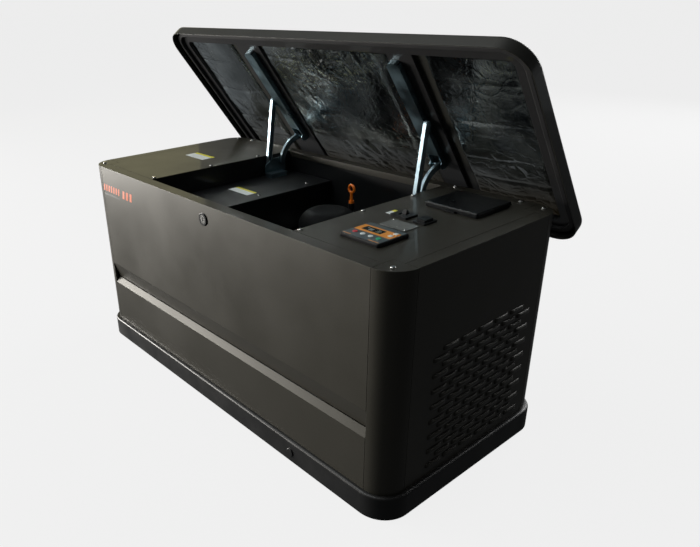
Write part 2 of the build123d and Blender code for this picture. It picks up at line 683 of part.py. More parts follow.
def rotor():
    poles = rod(STATOR_R - AIR_GAP, (ROTOR_X0, 0, SHAFT_Z), "x", ROTOR_X1 - ROTOR_X0)
    notch = block(ROTOR_X0 - 1, ROTOR_X1 + 1, -9, 9, 44, STATOR_R)
    poles -= [Pos(0, 0, SHAFT_Z) * Rot(a, 0, 0) * notch for a in (45, 135, 225, 315)]
    return poles - rod(SHAFT_R, (ROTOR_X0 - 1, 0, SHAFT_Z), "x", ROTOR_X1 - ROTOR_X0 + 2)


def air_cleaner():
    """Rounded black cover over the filter, on a short neck to the mixer."""
    dome = Pos(AIR_X, AIR_Y, AIR_Z0) * Cylinder(AIR_R, AIR_Z1 - AIR_Z0,
                                               align=(Align.CENTER, Align.CENTER, Align.MIN))
    dome = fillet(dome.edges().group_by(Axis.Z)[-1], 44)
    dome -= Pos(AIR_X, AIR_Y, AIR_Z0 - 1) * Cylinder(AIR_R - 4, 14,
                                                    align=(Align.CENTER, Align.CENTER, Align.MIN))
    return dome


def intake():
    """Gas mixer between the banks and the neck that carries the air cleaner."""
    neck = swept([(-23, 0, CASE_Z1), (-23, 0, 392), (AIR_X, AIR_Y, 405), (AIR_X, AIR_Y, AIR_Z0 + 13)],
                 PIPE_R, 9.0)
    return neck + block(-45, -1, -22, 22, 318, 372)


def oil_filter():
    body = rod(37, (20, -CASE_Y - 74, 165), "y", 74)
    return fillet(body.edges().group_by(Axis.Y)[0], 8)


def dipstick_tube():
    bore = DIP_ROD_R + 1.0
    low = 270.0
    upper = rod(DIP_TUBE_R, (DIP_X, DIP_Y, low), "z", DIP_TOP_Z - low)
    lower = swept([(DIP_X, DIP_Y, low + 0.5), (DIP_X, DIP_Y, 150), (DIP_X, CASE_Y - 6, 150)],
                  DIP_TUBE_R, 30)
    cup = rod(9, (DIP_X, DIP_Y, DIP_TOP_Z - 14), "z", 14)
    return upper + lower + cup - rod(bore, (DIP_X, DIP_Y, low + 4), "z", DIP_TOP_Z)


def dipstick():
    """Rod with a round cap and a notched pull ring."""
    stick = rod(DIP_ROD_R, (DIP_X, DIP_Y, DIP_TOP_Z - DIP_LEN), "z", DIP_LEN + 4)
    stick += rod(7.5, (DIP_X, DIP_Y, DIP_TOP_Z), "z", 7)
    stick += rod(4.0, (DIP_X, DIP_Y, DIP_TOP_Z), "z", DIP_RING_Z - DIP_TOP_Z - 8)
    ring = Pos(DIP_X, DIP_Y, DIP_RING_Z) * Rot(90, 0, 0) * Torus(10, 3.4)
    return stick + ring


def exhaust():
    """Silencer on two legs, a pipe from each head and the tail pipe through the left end."""
    body = rod(MUFFLER_R, (MUFFLER_X, -MUFFLER_LEN / 2, MUFFLER_Z), "y", MUFFLER_LEN)
    body = fillet(body.edges().filter_by(GeomType.CIRCLE), 16)
    cavity_end = (MUFFLER_X, -MUFFLER_LEN / 2 + 6, MUFFLER_Z)
    cavity = rod(MUFFLER_R - MUFFLER_WALL, cavity_end, "y", MUFFLER_LEN - 12)
    cavity = fillet(cavity.edges().filter_by(GeomType.CIRCLE), 14)
    pipes = []
    for x, side in zip(CYLINDER_X, (1, -1)):
        y = side * PORT_Y
        start = (x - (FIN_W - 18) / 2, y, PORT_Z)
        pipe = swept([start, (MUFFLER_X, y, PORT_Z), (MUFFLER_X, y, MUFFLER_Z + 60)], PIPE_R - 5, 20)
        pipes.append(pipe - body)
    tail_x = -HALF_L - 4
    tail = rod(PIPE_R, (tail_x, 0, TAIL_Z), "x", MUFFLER_X - tail_x)
    legs = [block(MUFFLER_X - 30, MUFFLER_X + 30, s * MOUNT_Y - 3, s * MOUNT_Y + 3, SKID_Z, MUFFLER_Z)
            for s in (-1, 1)]
    silencer = body + (tail + legs - body) - cavity - rod(TAIL_R, (tail_x - 1, 0, TAIL_Z), "x", 120)
    return [silencer] + pipes


# ---------------------------------------------------------------- services

def gas_train():
    """Threaded gas stub that passes the back panel, and the demand regulator behind it."""
    y = HALF_D
    stub = rod(GAS_THREAD_R, (-500, y - 60, GAS_Z), "y", 60 + GAS_PROUD)
    stub += rod(GAS_THREAD_R + 7, (-500, y - SHEET - 10, GAS_Z), "y", 10)
    stub -= rod(9.5, (-500, y - 61, GAS_Z), "y", 90)
    body = rod(48, (-500, y - 122, GAS_Z), "y", 24)
    body += block(-522, -478, y - 100, y - 60, GAS_Z - 22, GAS_Z + 22)
    return [stub, body + rod(22, (-500, y - 138, GAS_Z), "y", 18)]


def battery():
    case = slab(BATTERY_L, BATTERY_D, 5, SKID_Z, SKID_Z + BATTERY_H - 12, BATTERY_X, BATTERY_Y)
    case += slab(BATTERY_L + 4, BATTERY_D + 4, 6, SKID_Z + BATTERY_H - 40, SKID_Z + BATTERY_H - 12,
                 BATTERY_X, BATTERY_Y)
    for dx in (-70, 70):
        case += rod(8, (BATTERY_X + dx, BATTERY_Y - 42, SKID_Z + BATTERY_H - 13), "z", 17)
    return case


def control_box():
    """Sheet box under the right deck that shields the wiring of the controls."""
    x0, x1, y0, y1 = 350.0, 540.0, -215.0, 32.0
    z0, z1 = 400.0, DECK_UNDER
    shell = block(x0, x1, y0, y1, z0, z1)
    return shell - block(x0 + 1.5, x1 - 1.5, y0 + 1.5, y1 - 1.5, z0 + 1.5, z1 + 1)


# ---------------------------------------------------------------- controls

PUSH_KEYS = [(CONTROLLER_X + (i - 1.5) * PUSH_KEY_PITCH, CONTROLLER_Y - 22.0) for i in range(4)]
ARROW_KEYS = [(CONTROLLER_X + 38.0, CONTROLLER_Y + dy) for dy in (22.0, 6.0)]
FACE_Z = DECK_Z + CONTROLLER_PROUD
KEY_TOP = 1.8
KEY_DEEP = 4.0


def controller():
    """Panel-mounted controller: proud bezel, sunk body, screen recess and key pockets."""
    bezel = slab(CONTROLLER_W, CONTROLLER_D, 6, DECK_Z, FACE_Z, CONTROLLER_X, CONTROLLER_Y)
    bezel = fillet(bezel.edges().group_by(Axis.Z)[-1], 2.5)
    body = slab(CONTROLLER_W - 13, CONTROLLER_D - 13, 3, DECK_Z - CONTROLLER_DEEP, DECK_Z + 0.5,
                CONTROLLER_X, CONTROLLER_Y)
    unit = bezel + body
    unit -= block(CONTROLLER_X - 36, CONTROLLER_X + 26, CONTROLLER_Y - 3, CONTROLLER_Y + 31,
                  FACE_Z - 1.5, FACE_Z + 1)
    deep = KEY_DEEP + KEY_TRAVEL + 0.3
    for x, y in PUSH_KEYS:
        unit -= rod(PUSH_KEY_R + KEY_FIT, (x, y, FACE_Z - deep), "z", deep + 1)
    for x, y in ARROW_KEYS:
        half = ARROW_KEY_W / 2 + KEY_FIT
        unit -= block(x - half, x + half, y - half, y + half, FACE_Z - deep, FACE_Z + 1)
    return unit


def push_key(x, y):
    key = rod(PUSH_KEY_R, (x, y, FACE_Z - KEY_DEEP), "z", KEY_DEEP + KEY_TOP)
    return fillet(key.edges().group_by(Axis.Z)[-1], 1.0)


def arrow_key(x, y):
    half = ARROW_KEY_W / 2
    key = block(x - half, x + half, y - half, y + half, FACE_Z - KEY_DEEP, FACE_Z + KEY_TOP)
    return fillet(key.edges().group_by(Axis.Z)[-1], 0.8)


TOGGLE_Z = DECK_Z - 3.0
TOGGLE_PIN_R = 2.5
TOGGLE_REST = -TOGGLE_ANGLE / 2


def circuit_breaker():
    """Breaker with a flange on the deck and a slot for its toggle."""
    flange = slab(BREAKER_W, BREAKER_D, 2, DECK_Z, DECK_Z + 5, BREAKER_X, BREAKER_Y)
    body = block(BREAKER_X - 18, BREAKER_X + 18, BREAKER_Y - 15, BREAKER_Y + 15, DECK_Z - 55, DECK_Z + 0.5)
    unit = flange + body - block(BREAKER_X - 8, BREAKER_X + 8, BREAKER_Y - 12, BREAKER_Y + 12,
                                 DECK_Z - 14, DECK_Z + 6)
    return unit - rod(TOGGLE_PIN_R + PIN_CLEAR, (BREAKER_X - 11, BREAKER_Y, TOGGLE_Z), "x", 22)


def breaker_toggle():
    """Toggle that swings front to back on a pin across its slot; it rests switched on."""
    knob = rod(6.5, (-6.5, 0, 0), "x", 13) + block(-5, 5, -3, 3, 0, 17)
    knob += rod(TOGGLE_PIN_R, (-10.8, 0, 0), "x", 21.6)
    knob = fillet(knob.edges().filter_by(Axis.X).group_by(Axis.Z)[-1], 1.5)
    return Pos(BREAKER_X, BREAKER_Y, TOGGLE_Z) * Rot(TOGGLE_REST, 0, 0) * knob


def service_outlet():
    """Covered connector block beside the breaker."""
    flange = slab(OUTLET_W, OUTLET_D, 3, DECK_Z, DECK_Z + 4, OUTLET_X, OUTLET_Y)
    flange += block(OUTLET_X - 12, OUTLET_X + 12, OUTLET_Y - 16, OUTLET_Y + 16, DECK_Z - 30, DECK_Z + 0.5)
    flange += slab(OUTLET_W - 10, OUTLET_D - 14, 3, DECK_Z + 3, DECK_Z + 9, OUTLET_X, OUTLET_Y)
    return flange


HATCH_PIN_Y = HATCH_Y1 + HATCH_PIN_BACK
HATCH_PIN_Z = DECK_Z + 5.0


def hatch_cover():
    """Shallow moulded cover with a finger tab, hinged along its back edge."""
    z0 = DECK_Z + HATCH_LIFT
    w, d = HATCH_X1 - HATCH_X0, HATCH_Y1 - HATCH_Y0
    x, y = (HATCH_X0 + HATCH_X1) / 2, (HATCH_Y0 + HATCH_Y1) / 2
    cover = slab(w, d, 5, z0, z0 + HATCH_H, x, y)
    cover = fillet(cover.edges().group_by(Axis.Z)[-1], 4)
    cover -= slab(w - 6, d - 6, 3, z0 - 1, z0 + HATCH_H - 3, x, y)
    cover += block(x - 14, x + 14, HATCH_Y0 - 5, HATCH_Y0 + 2, z0, z0 + 4)
    for side in (-1, 1):
        arm_x = x + side * 45
        cover += rod(4.0, (arm_x - 8, HATCH_PIN_Y, HATCH_PIN_Z), "x", 16)
        cover += block(arm_x - 8, arm_x + 8, HATCH_Y1 - 4, HATCH_PIN_Y, HATCH_PIN_Z - 2, HATCH_PIN_Z + 4)
    return cover - rod(2.05, (HATCH_X0 - 5, HATCH_PIN_Y, HATCH_PIN_Z), "x", w + 10)


def hatch_hinge():
    """Knuckles on the deck with the hinge pin of the hatch."""
    x = (HATCH_X0 + HATCH_X1) / 2
    parts = []
    for side in (-1, 1):
        arm_x = x + side * 45
        base = None
        for edge in (-1, 1):
            start = arm_x + edge * 13 - 4
            knuckle = block(start, start + 8, HATCH_PIN_Y - 3, HATCH_PIN_Y + 4, DECK_Z, HATCH_PIN_Z + 3)
            base = knuckle if base is None else base + knuckle
        base += block(arm_x - 17, arm_x + 17, HATCH_PIN_Y + 4.5, HATCH_PIN_Y + 9, DECK_Z, DECK_Z + 2)
        for start in (arm_x - 17, arm_x + 9):
            base += block(start, start + 8, HATCH_PIN_Y + 3, HATCH_PIN_Y + 5, DECK_Z, DECK_Z + 2)
        base += rod(2.0, (arm_x - 17, HATCH_PIN_Y, HATCH_PIN_Z), "x", 34)
        parts.append(base)
    return parts


# ---------------------------------------------------------------- lock

def lock_body():
    """Round escutcheon with a bore, clamped in the front panel."""
    face = -HALF_D
    body = rod(LOCK_R, (0, face - 3, LOCK_Z), "y", 3)
    body = fillet(body.edges().group_by(Axis.Y)[0], 1.2)
    body += rod(LOCK_R - 3.1, (0, face, LOCK_Z), "y", 20)
    return body - rod(LOCK_BORE_R, (0, face - 4, LOCK_Z), "y", 30)


def lock_barrel():
    """Key barrel with the cam that holds the lid's striker."""
    face = -HALF_D
    barrel = rod(LOCK_BORE_R - 0.05, (0, face - 2.6, LOCK_Z), "y", 24.6)
    barrel -= block(-1.2, 1.2, face - 4, face + 6, LOCK_Z - 5, LOCK_Z + 5)
    cam = block(-8, 34, face + 22, face + 25, LOCK_Z - 8, LOCK_Z + 8)
    return barrel + cam


# ---------------------------------------------------------------- hinge

def bracket():
    """Folded bracket beside the well: an upright web on a bolted foot."""
    x0, x1 = BRACKET_X, BRACKET_X + BRACKET_T
    y0, y1 = BASE_FRONT_Y - 20, BASE_REAR_Y + 17
    foot = BRACKET_FOOT_Z
    web = [(y0, foot), (y1, foot), (y1, BASE_REAR_Z + 4), (y1 - 8, BASE_REAR_Z + 11),
           (BASE_FRONT_Y + 6, BASE_REAR_Z + 9), (y0 + 4, BASE_FRONT_Z + 8), (y0, BASE_FRONT_Z)]
    part = plate_yz(web, x0, x1)
    part += block(x0 - 27, x1, y0, y1 - 16, foot, foot + BRACKET_T)
    for y, z in ((BASE_FRONT_Y, BASE_FRONT_Z), (BASE_REAR_Y, BASE_REAR_Z)):
        part -= rod(PIN_R, (x0 - 1, y, z), "x", BRACKET_T + 2)
    part += block(x0 - 27, x1, y0 + 2, y1 - 18, SHELF_Z, foot)
    return part


def hinge_brackets():
    return both(bracket())


def pivot_pin(x0, x1, y, z):
    """Pin through one link and the bracket, with a flat head at each end."""
    pin = rod(PIN_R, (x0, y, z), "x", x1 - x0)
    return pin + [rod(PIN_R + 3, (x, y, z), "x", PIN_HEAD) for x in (x0 - PIN_HEAD, x1)]


def hinge_pins():
    front = pivot_pin(BRACKET_X, FRONT_LINK_X0 + FRONT_LINK_W + 0.2, BASE_FRONT_Y, BASE_FRONT_Z)
    rear = pivot_pin(REAR_LINK_X0 - 0.3, BRACKET_X + BRACKET_T, BASE_REAR_Y, BASE_REAR_Z)
    return both(front) + both(rear)


def link_bar(start, end, x0, x1, bow):
    """A flat bar with round ends between two pivots, bowed sideways by an arc."""
    mid = ((start[0] + end[0]) / 2, (start[1] + end[1]) / 2)
    length = math.hypot(end[0] - start[0], end[1] - start[1])
    normal = (-(end[1] - start[1]) / length, (end[0] - start[0]) / length)
    if bow:
        top = (mid[0] + normal[0] * bow, mid[1] + normal[1] * bow)
        line = ThreePointArc((x0, *start), (x0, *top), (x0, *end))
    else:
        line = Line((x0, *start), (x0, *end))
    section = Plane(origin=line @ 0, z_dir=line % 0, x_dir=(1, 0, 0)) * Pos((x1 - x0) / 2, 0) * \
        Rectangle(x1 - x0, 2 * LINK_HALF)
    bar = sweep(section, path=line)
    for y, z in (start, end):
        bar += rod(LINK_HALF, (x0, y, z), "x", x1 - x0)
        bar -= rod(PIN_R + PIN_CLEAR, (x0 - 1, y, z), "x", x1 - x0 + 2)
    return bar


def rear_links():
    """Goose-neck links, which carry the lid's rear pivots."""
    link = link_bar((BASE_REAR_Y, BASE_REAR_Z), REAR_TOP, REAR_LINK_X0, REAR_LINK_X0 + REAR_LINK_W,
                    NECK_BULGE)
    return both(link)


def front_links():
    """Straight channel links; their top pivot ends just short of the lid's channel."""
    x0, x1 = FRONT_LINK_X0, FRONT_LINK_X0 + FRONT_LINK_W
    link = link_bar((BASE_FRONT_Y, BASE_FRONT_Z), FRONT_TOP, x0, x1, 0)
    a = angle_of((BASE_FRONT_Y, BASE_FRONT_Z), FRONT_TOP)
    length = math.hypot(FRONT_TOP[0] - BASE_FRONT_Y, FRONT_TOP[1] - BASE_FRONT_Z)
    groove = Pos(0, BASE_FRONT_Y, BASE_FRONT_Z) * Rot(a, 0, 0) * block(
        x0 - 1, x1 - 2.5, 16, length - 16, -LINK_HALF + 2.5, LINK_HALF - 2.5)
    link -= groove
    link += rod(PIN_R + PIN_CLEAR, (x0, *FRONT_TOP), "x", x1 - x0 + 2)
    return both(link)


# ---------------------------------------------------------------- lid, drawn shut and then opened

INNER_TOP = LID_H - SHEET


def lid_shell():
    """Pressed lid: flat top, rounded rim and an inward flange along the rim's mouth."""
    top = RIM_Z + LID_H
    shell = slab(LID_WIDTH, LID_DEPTH, LID_R, RIM_Z, top)
    shell = fillet(shell.edges().group_by(Axis.Z)[-1], 9)
    cavity = slab(LID_WIDTH - 2 * SHEET, LID_DEPTH - 2 * SHEET, LID_R - SHEET, RIM_Z - 1, top - SHEET)
    cavity = fillet(cavity.edges().group_by(Axis.Z)[-1], 7)
    return opened(shell - cavity)


def lid_flange():
    """Inner frame behind the rim that carries the seal."""
    z0 = DECK_Z + SEAL_GAP + SEAL_H
    inset = SHEET + 0.5
    frame = slab(LID_WIDTH - 2 * inset, LID_DEPTH - 2 * inset, LID_R - inset, z0, z0 + 1.5)
    hole = inset + RIM_FLANGE
    frame -= slab(LID_WIDTH - 2 * hole, LID_DEPTH - 2 * hole, LID_R - hole, z0 - 1, z0 + 3)
    wall = slab(LID_WIDTH - 2 * hole + 3, LID_DEPTH - 2 * hole + 3, LID_R - hole + 1.5, z0,
                RIM_Z + INNER_TOP)
    wall -= slab(LID_WIDTH - 2 * hole, LID_DEPTH - 2 * hole, LID_R - hole, z0 - 1, RIM_Z + LID_H)
    return opened(frame + wall)


def lid_seal():
    """Bulb seal that meets the deck's edge when the lid is shut."""
    z0 = DECK_Z + SEAL_GAP
    z1 = z0 + SEAL_H
    out = SHEET + 9.0
    ring = slab(LID_WIDTH - 2 * out, LID_DEPTH - 2 * out, LID_R - out, z0, z1)
    ring -= slab(LID_WIDTH - 2 * (out + SEAL_W), LID_DEPTH - 2 * (out + SEAL_W), LID_R - out - SEAL_W,
                 z0 - 1, z1 + 1)
    ring = fillet(ring.edges().group_by(Axis.Z)[0], 3.5)
    return opened(ring)


LINER_EDGE = SHEET + 0.5 + RIM_FLANGE + 1.5


def lid_ribs():
    """Hat-section ribs between the front and back of the rim."""
    y = LID_DEPTH / 2 - LINER_EDGE
    z1 = RIM_Z + INNER_TOP
    rib = block(RIB_X0, RIB_X1, -y, y, z1 - RIB_H, z1)
    rib -= block(RIB_X0 + 2, RIB_X1 - 2, -y - 1, y + 1, z1 - RIB_H + 2, z1 + 1)
    rib = fillet(rib.edges().filter_by(Axis.Y).group_by(Axis.Z)[0], 1.8)
    return [opened(part) for part in both(rib)]


def lid_liners():
    """Three foil-faced insulation mats, one in each bay."""
    y = LID_DEPTH / 2 - LINER_EDGE - 1
    z1 = RIM_Z + INNER_TOP - 0.2
    end = LID_WIDTH / 2 - LINER_EDGE - 1
    inner = RIB_X0 - 1.5
    middle = block(-inner, inner, -y, y, z1 - LINER_T, z1)
    outer = slab(2 * end, 2 * y, LID_R - LINER_EDGE - 1, z1 - LINER_T, z1)
    outer = outer & block(RIB_X1 + BAY_GAP, end + 1, -y - 1, y + 1, z1 - LINER_T - 1, z1 + 1)
    return [opened(part) for part in [middle] + both(outer)]


def lid_y(s):
    """Place along the shut lid of a distance from its rear edge."""
    return LID_BACK_Y - s


def hinge_channels():
    """Zinc channels on the lid; their rear ends are open forks for the goose-neck links."""
    z_face = RIM_Z + CHANNEL_O
    z1 = RIM_Z + INNER_TOP - RIB_H
    y_far = lid_y(CHANNEL_S1)
    y_fork = lid_y(REAR_PIVOT_S + 34)
    y_end = lid_y(REAR_PIVOT_S - 14)
    bar = block(CHANNEL_X0, CHANNEL_X1, y_far, y_end, z_face, z1)
    bar = fillet(bar.edges().filter_by(Axis.Z).group_by(Axis.Y)[0], 12)
    bar -= block(CHANNEL_X0 + CHANNEL_T, CHANNEL_X1 - CHANNEL_T, y_far + CHANNEL_T, y_end + 1,
                 z_face + CHANNEL_T, z1 + 1)
    bar -= block(CHANNEL_X0 + CHANNEL_T, CHANNEL_X1 - CHANNEL_T, y_fork, y_end + 1, z_face - 1, z1 + 1)
    pivot_y, pivot_z = REAR_SHUT
    for x in (CHANNEL_X0, CHANNEL_X1 - CHANNEL_T):
        bar += rod(11, (x, pivot_y, pivot_z), "x", CHANNEL_T)
        bar -= rod(PIN_R, (x - 1, pivot_y, pivot_z), "x", CHANNEL_T + 2)
    pin = rod(PIN_R, (CHANNEL_X0, pivot_y, pivot_z), "x", CHANNEL_X1 - CHANNEL_X0)
    return [opened(part) for part in both(bar) + both(pin)]


def striker():
    """Oval wire loop on two studs at the middle of the lid's front edge."""
    y = lid_y(STRIKER_S)
    z1 = RIM_Z + INNER_TOP - LINER_T - 0.2
    loop = SlotOverall(STRIKER_L, STRIKER_W, rotation=90)
    loop -= SlotOverall(STRIKER_L - 2 * STRIKER_WIRE, STRIKER_W - 2 * STRIKER_WIRE, rotation=90)
    ring = Pos(0, y, z1 - 6) * extrude(loop, STRIKER_WIRE)
    ring = fillet(ring.edges(), 0.9)
    reach = STRIKER_L / 2 - STRIKER_WIRE / 2
    base_z = z1 - 6 + STRIKER_WIRE / 2
    studs = [rod(1.4, (0, y + s * reach, base_z), "z", z1 - base_z) for s in (-1, 1)]
    return opened(ring + studs)


# ---------------------------------------------------------------- the whole machine

NODES = {
    "base_tray": base_tray, "base_plug": base_plug, "skid_frame": skid_frame,
    "vibration_mounts": vibration_mounts, "corner_columns": corner_columns,
    "front_upper_panel": front_upper_panel, "front_lower_panel": front_lower_panel,
    "left_end_panel": lambda: end_panel(-1), "right_end_panel": lambda: end_panel(1),
    "back_panel": back_panel, "top_frame": top_frame, "deck_left": deck_left,
    "deck_right": deck_right, "well_walls": well_walls, "shelf_box": shelf_box,
    "deck_screws": deck_screws, "crankcase": crankcase, "bearings": bearings,
    "cylinders": cylinders, "rocker_covers": rocker_covers, "blower_housing": blower_housing,
    "flywheel_fan": flywheel_fan, "crankshaft": crankshaft, "alternator_housing": alternator_housing,
    "stator": stator, "rotor": rotor, "air_cleaner": air_cleaner, "intake": intake,
    "oil_filter": oil_filter, "dipstick_tube": dipstick_tube, "dipstick": dipstick,
    "exhaust": exhaust, "gas_train": gas_train, "battery": battery, "control_box": control_box,
    "controller": controller, "circuit_breaker": circuit_breaker, "breaker_toggle": breaker_toggle,
    "service_outlet": service_outlet, "hatch_cover": hatch_cover, "hatch_hinge": hatch_hinge,
    "lock_body": lock_body, "lock_barrel": lock_barrel, "hinge_brackets": hinge_brackets,
    "hinge_pins": hinge_pins, "rear_links": rear_links, "front_links": front_links,
    "lid_shell": lid_shell, "lid_flange": lid_flange, "lid_seal": lid_seal, "lid_ribs": lid_ribs,
    "lid_liners": lid_liners, "hinge_channels": hinge_channels, "lid_striker": striker,
}
for number, place in enumerate(PUSH_KEYS, start=1):
    NODES[f"push_key_{number}"] = lambda place=place: push_key(*place)
for name, place in zip(("up", "down"), ARROW_KEYS):
    NODES[f"arrow_key_{name}"] = lambda place=place: arrow_key(*place)

os.makedirs("parts", exist_ok=True)
for name, make in NODES.items():
    made = make()
    solids = []
    for piece in made if isinstance(made, list) else [made]:
        solids += piece.solids()
    shape = solids[0] if len(solids) == 1 else Compound(children=solids)
    export_step(shape, f"parts/{name}.step")
print("rear pivot", REAR_TOP, "front pivot", FRONT_TOP)
print("link turns", REAR_TURN, FRONT_TURN)
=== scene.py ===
import math

import bpy
from mathutils import Matrix, Vector, noise


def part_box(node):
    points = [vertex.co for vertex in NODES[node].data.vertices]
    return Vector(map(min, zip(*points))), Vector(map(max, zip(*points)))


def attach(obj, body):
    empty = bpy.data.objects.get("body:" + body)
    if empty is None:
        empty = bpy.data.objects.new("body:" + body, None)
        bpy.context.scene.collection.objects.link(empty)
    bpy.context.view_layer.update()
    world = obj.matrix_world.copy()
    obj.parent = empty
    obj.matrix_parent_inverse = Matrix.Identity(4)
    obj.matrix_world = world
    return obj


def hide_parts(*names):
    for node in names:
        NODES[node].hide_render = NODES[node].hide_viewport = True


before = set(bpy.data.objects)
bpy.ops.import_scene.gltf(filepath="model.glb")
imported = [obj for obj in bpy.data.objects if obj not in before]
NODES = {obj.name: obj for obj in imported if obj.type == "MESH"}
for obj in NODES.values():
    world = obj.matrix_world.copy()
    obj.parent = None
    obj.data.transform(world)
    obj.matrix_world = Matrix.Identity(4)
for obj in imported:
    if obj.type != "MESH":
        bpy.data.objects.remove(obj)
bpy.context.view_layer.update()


# ---------------------------------------------------------------- materials

NOISE_SPAN = 0.3, 0.7         # nearly all of a noise texture's values lie between these
PAINT_METALLIC = 0.25
FOLD_RADIUS = 0.0014          # how far painted sheet looks rounded at its folds
FOIL_PAINTED_REFLECTION_Z, FOIL_UNTINTED_Z = 0.52, 0.68      # painted reflection: the foil's dark brown tint, which stands in for the dark surroundings it mirrors low down, fades out between these heights


def new_material(name, color, rough, metal=0.0, **sockets):
    """Principled material; further sockets are set on the shader itself."""
    mat = bpy.data.materials.new(name)
    mat.use_nodes = True
    shader = mat.node_tree.nodes["Principled BSDF"]
    shader.inputs["Base Color"].default_value = (*color, 1.0)
    shader.inputs["Roughness"].default_value = rough
    shader.inputs["Metallic"].default_value = metal
    for key, value in sockets.items():
        shader.inputs[key.replace("_", " ")].default_value = value
    return mat


def texture(mat, kind, scale, **values):
    """Texture node on object coordinates, with one scale in cycles per metre or a vector of them."""
    nodes, links = mat.node_tree.nodes, mat.node_tree.links
    coords = nodes.new("ShaderNodeTexCoord")
    mapping = nodes.new("ShaderNodeMapping")
    tex = nodes.new(kind)
    links.new(coords.outputs["Object"], mapping.inputs["Vector"])
    links.new(mapping.outputs["Vector"], tex.inputs["Vector"])
    mapping.inputs["Scale"].default_value = scale if hasattr(scale, "__len__") else (scale,) * 3
    tex.inputs["Scale"].default_value = 1.0
    for key, value in values.items():
        tex.inputs[key].default_value = value
    return tex


def ramp(mat, source, low, high, start, end):
    """Maps a value that runs from start to end onto two colours or two greys."""
    nodes, links = mat.node_tree.nodes, mat.node_tree.links
    node = nodes.new("ShaderNodeValToRGB")
    for index, (place, value) in enumerate(((start, low), (end, high))):
        color = value if hasattr(value, "__len__") else (value,) * 3
        node.color_ramp.elements[index].position = place
        node.color_ramp.elements[index].color = (*color, 1.0)
    links.new(source, node.inputs["Fac"])
    return node.outputs["Color"]


def vary(mat, socket, source, low, high):
    """Drives one socket of the shader between two values by a noise."""
    shader = mat.node_tree.nodes["Principled BSDF"]
    mat.node_tree.links.new(ramp(mat, source, low, high, *NOISE_SPAN), shader.inputs[socket])


def bump(mat, source, distance, strength):
    """Adds one layer of bump on top of those already there."""
    nodes, links = mat.node_tree.nodes, mat.node_tree.links
    shader = nodes["Principled BSDF"]
    node = nodes.new("ShaderNodeBump")
    node.inputs["Strength"].default_value = strength
    node.inputs["Distance"].default_value = distance
    links.new(source, node.inputs["Height"])
    if shader.inputs["Normal"].links:
        links.new(shader.inputs["Normal"].links[0].from_socket, node.inputs["Normal"])
    links.new(node.outputs["Normal"], shader.inputs["Normal"])


def noise_out(mat, scale, detail=3.0, rough=0.5):
    """Noise from 0 to 1, scale in cycles per metre."""
    return texture(mat, "ShaderNodeTexNoise", scale, Detail=detail, Roughness=rough).outputs["Fac"]


def scaled(color, factor):
    return tuple(c * factor for c in color)


def paint(name, color, rough=0.40, coat=0.32):
    """Glossy metallic powder paint: fine flake under a clear coat, orange peel and faint cloudiness."""
    mat = new_material(name, color, rough, PAINT_METALLIC, Coat_Weight=coat, Coat_Roughness=0.05,
                       Specular_IOR_Level=0.4)
    vary(mat, "Base Color", noise_out(mat, 900, 2), scaled(color, 0.84), scaled(color, 1.16))
    vary(mat, "Roughness", noise_out(mat, 6, 4), rough * 0.9, rough * 1.15)
    soft = mat.node_tree.nodes.new("ShaderNodeBevel")
    soft.samples = 4
    soft.inputs["Radius"].default_value = FOLD_RADIUS
    shader = mat.node_tree.nodes["Principled BSDF"]
    mat.node_tree.links.new(soft.outputs["Normal"], shader.inputs["Normal"])
    bump(mat, noise_out(mat, 300, 1), 0.00002, 0.25)
    return mat


def moulded(name, color, rough=0.5, grain=900, depth=0.0001, gloss=0.5):
    """Moulded plastic with a fine leather-like grain."""
    mat = new_material(name, color, rough, Specular_IOR_Level=gloss)
    cells = texture(mat, "ShaderNodeTexVoronoi", grain)
    bump(mat, cells.outputs["Distance"], depth, 0.5)
    vary(mat, "Roughness", noise_out(mat, 14, 5), rough * 0.8, rough * 1.2)
    return mat


def metal(name, color, rough, scale=60, depth=0.00005):
    """Bare or plated metal with cloudy brightness and small dents."""
    mat = new_material(name, color, rough, 1.0)
    vary(mat, "Base Color", noise_out(mat, scale, 5, 0.6), scaled(color, 0.85), color)
    vary(mat, "Roughness", noise_out(mat, scale * 2, 4), rough * 0.7, rough * 1.3)
    bump(mat, noise_out(mat, scale * 5, 3), depth, 0.6)
    return mat


def cast(name, color, rough=0.55):
    """Sand-cast metal with a coarse skin."""
    mat = new_material(name, color, rough, 0.85)
    bump(mat, noise_out(mat, 700, 4, 0.7), 0.0003, 0.7)
    vary(mat, "Base Color", noise_out(mat, 25, 5), scaled(color, 0.75), color)
    return mat


def plain_rubber(name, rough=0.62):
    """Matt black rubber with a fine grain."""
    mat = new_material(name, (0.010, 0.010, 0.011), rough)
    bump(mat, noise_out(mat, 600, 3), 0.00015, 0.6)
    vary(mat, "Roughness", noise_out(mat, 20, 4), rough * 0.85, rough * 1.15)
    return mat


def printed(name, color, rough):
    """Printed film: a thin ink layer, slightly uneven, on a satin face."""
    mat = new_material(name, color, rough)
    vary(mat, "Base Color", noise_out(mat, 160, 4), scaled(color, 0.86), color)
    vary(mat, "Roughness", noise_out(mat, 50, 3), rough * 0.8, rough * 1.25)
    bump(mat, noise_out(mat, 900, 2), 0.00002, 0.4)
    return mat


